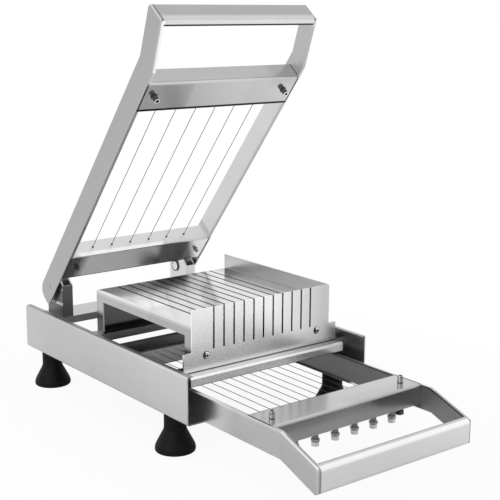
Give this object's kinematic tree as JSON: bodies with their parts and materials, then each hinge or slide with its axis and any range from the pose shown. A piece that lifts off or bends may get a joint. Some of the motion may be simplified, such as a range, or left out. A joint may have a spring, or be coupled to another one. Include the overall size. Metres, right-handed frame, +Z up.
{
  "type": "chocolate guitar cutter",
  "caption": "Wire cutter for slabs: a slotted steel bed on a railed base, a wire frame hinged at the back and a spare frame that slides on the rails below.",
  "frame": {"origin": "middle of the whole cutter's footprint, at table height", "axes": "+X to the right across the wires, +Y back from the handles to the hinge, +Z up"},
  "size_m": [0.2975, 0.5924, 0.5152],
  "materials": {
    "steel": "brushed",
    "rail": "brushed",
    "bed": "fine brushed, nearly mirror bright",
    "wire": "drawn",
    "fastener": "turned",
    "foot": "matt moulded"
  },
  "bodies": {
    "base": {"rail_left": "rail", "rail_right": "rail", "front_cross_member": "steel", "middle_cross_member": "steel", "rear_cross_member": "steel", "foot_front_left": "foot", "foot_front_right": "foot", "foot_rear_left": "foot", "foot_rear_right": "foot", "foot_screws": "fastener", "cutting_bed": "bed", "fence": "steel", "fence_screws": "fastener", "slotted_plate": "steel", "plate_screws": "fastener", "hinge_bracket_left": "steel", "hinge_bracket_right": "steel", "bracket_screws": "fastener"},
    "upper_wire_frame": {"upper_frame": "steel", "upper_near_bar": "steel", "upper_far_bar": "steel", "upper_peg_bar": "steel", "upper_bar_bolts": "fastener", "upper_anchor_screws": "fastener", "upper_pivot_pins": "fastener", "upper_wires": "wire", "upper_wire_stops": "wire"},
    "lower_wire_frame": {"lower_frame": "steel", "lower_near_bar": "steel", "lower_far_bar": "steel", "lower_peg_bar": "steel", "lower_bar_bolts": "fastener", "lower_anchor_screws": "fastener", "lower_pivot_pins": "fastener", "lower_wires": "wire", "lower_wire_stops": "wire"},
    "upper_peg_1_body": {"upper_peg_1": "fastener"},
    "upper_peg_2_body": {"upper_peg_2": "fastener"},
    "upper_peg_3_body": {"upper_peg_3": "fastener"},
    "upper_peg_4_body": {"upper_peg_4": "fastener"},
    "upper_peg_5_body": {"upper_peg_5": "fastener"},
    "upper_peg_6_body": {"upper_peg_6": "fastener"},
    "lower_peg_1_body": {"lower_peg_1": "fastener"},
    "lower_peg_2_body": {"lower_peg_2": "fastener"},
    "lower_peg_3_body": {"lower_peg_3": "fastener"},
    "lower_peg_4_body": {"lower_peg_4": "fastener"},
    "lower_peg_5_body": {"lower_peg_5": "fastener"},
    "lower_peg_6_body": {"lower_peg_6": "fastener"}
  },
  "joints": [
    {"name": "frame_hinge", "type": "hinge", "parent": "base", "child": "upper_wire_frame", "pos_m": [0, 0.2687, 0.1335], "axis": [-1, 0, 0], "range_deg": [-51, 45]},
    {"name": "stored_frame_slide", "type": "slide", "parent": "base", "child": "lower_wire_frame", "axis": [0, -1, 0], "range_m": [-0.11, 0.15]},
    {"name": "upper_peg_1_turn", "type": "hinge", "parent": "upper_wire_frame", "child": "upper_peg_1_body", "pos_m": [0.0675, 0.03554, 0.42143], "axis": [0, 0.7771, 0.6293], "range_deg": [-180, 180]},
    {"name": "upper_peg_2_turn", "type": "hinge", "parent": "upper_wire_frame", "child": "upper_peg_2_body", "pos_m": [0.0375, 0.03554, 0.42143], "axis": [0, 0.7771, 0.6293], "range_deg": [-180, 180]},
    {"name": "upper_peg_3_turn", "type": "hinge", "parent": "upper_wire_frame", "child": "upper_peg_3_body", "pos_m": [0.0075, 0.03554, 0.42143], "axis": [0, 0.7771, 0.6293], "range_deg": [-180, 180]},
    {"name": "upper_peg_4_turn", "type": "hinge", "parent": "upper_wire_frame", "child": "upper_peg_4_body", "pos_m": [-0.0225, 0.03554, 0.42143], "axis": [0, 0.7771, 0.6293], "range_deg": [-180, 180]},
    {"name": "upper_peg_5_turn", "type": "hinge", "parent": "upper_wire_frame", "child": "upper_peg_5_body", "pos_m": [-0.0525, 0.03554, 0.42143], "axis": [0, 0.7771, 0.6293], "range_deg": [-180, 180]},
    {"name": "upper_peg_6_turn", "type": "hinge", "parent": "upper_wire_frame", "child": "upper_peg_6_body", "pos_m": [-0.0825, 0.03554, 0.42143], "axis": [0, 0.7771, 0.6293], "range_deg": [-180, 180]},
    {"name": "lower_peg_1_turn", "type": "hinge", "parent": "lower_wire_frame", "child": "lower_peg_1_body", "pos_m": [-0.0675, -0.2017, 0.0625], "axis": [0, 0, -1], "range_deg": [-180, 180]},
    {"name": "lower_peg_2_turn", "type": "hinge", "parent": "lower_wire_frame", "child": "lower_peg_2_body", "pos_m": [-0.0375, -0.2017, 0.0625], "axis": [0, 0, -1], "range_deg": [-180, 180]},
    {"name": "lower_peg_3_turn", "type": "hinge", "parent": "lower_wire_frame", "child": "lower_peg_3_body", "pos_m": [-0.0075, -0.2017, 0.0625], "axis": [0, 0, -1], "range_deg": [-180, 180]},
    {"name": "lower_peg_4_turn", "type": "hinge", "parent": "lower_wire_frame", "child": "lower_peg_4_body", "pos_m": [0.0225, -0.2017, 0.0625], "axis": [0, 0, -1], "range_deg": [-180, 180]},
    {"name": "lower_peg_5_turn", "type": "hinge", "parent": "lower_wire_frame", "child": "lower_peg_5_body", "pos_m": [0.0525, -0.2017, 0.0625], "axis": [0, 0, -1], "range_deg": [-180, 180]},
    {"name": "lower_peg_6_turn", "type": "hinge", "parent": "lower_wire_frame", "child": "lower_peg_6_body", "pos_m": [0.0825, -0.2017, 0.0625], "axis": [0, 0, -1], "range_deg": [-180, 180]}
  ]
}
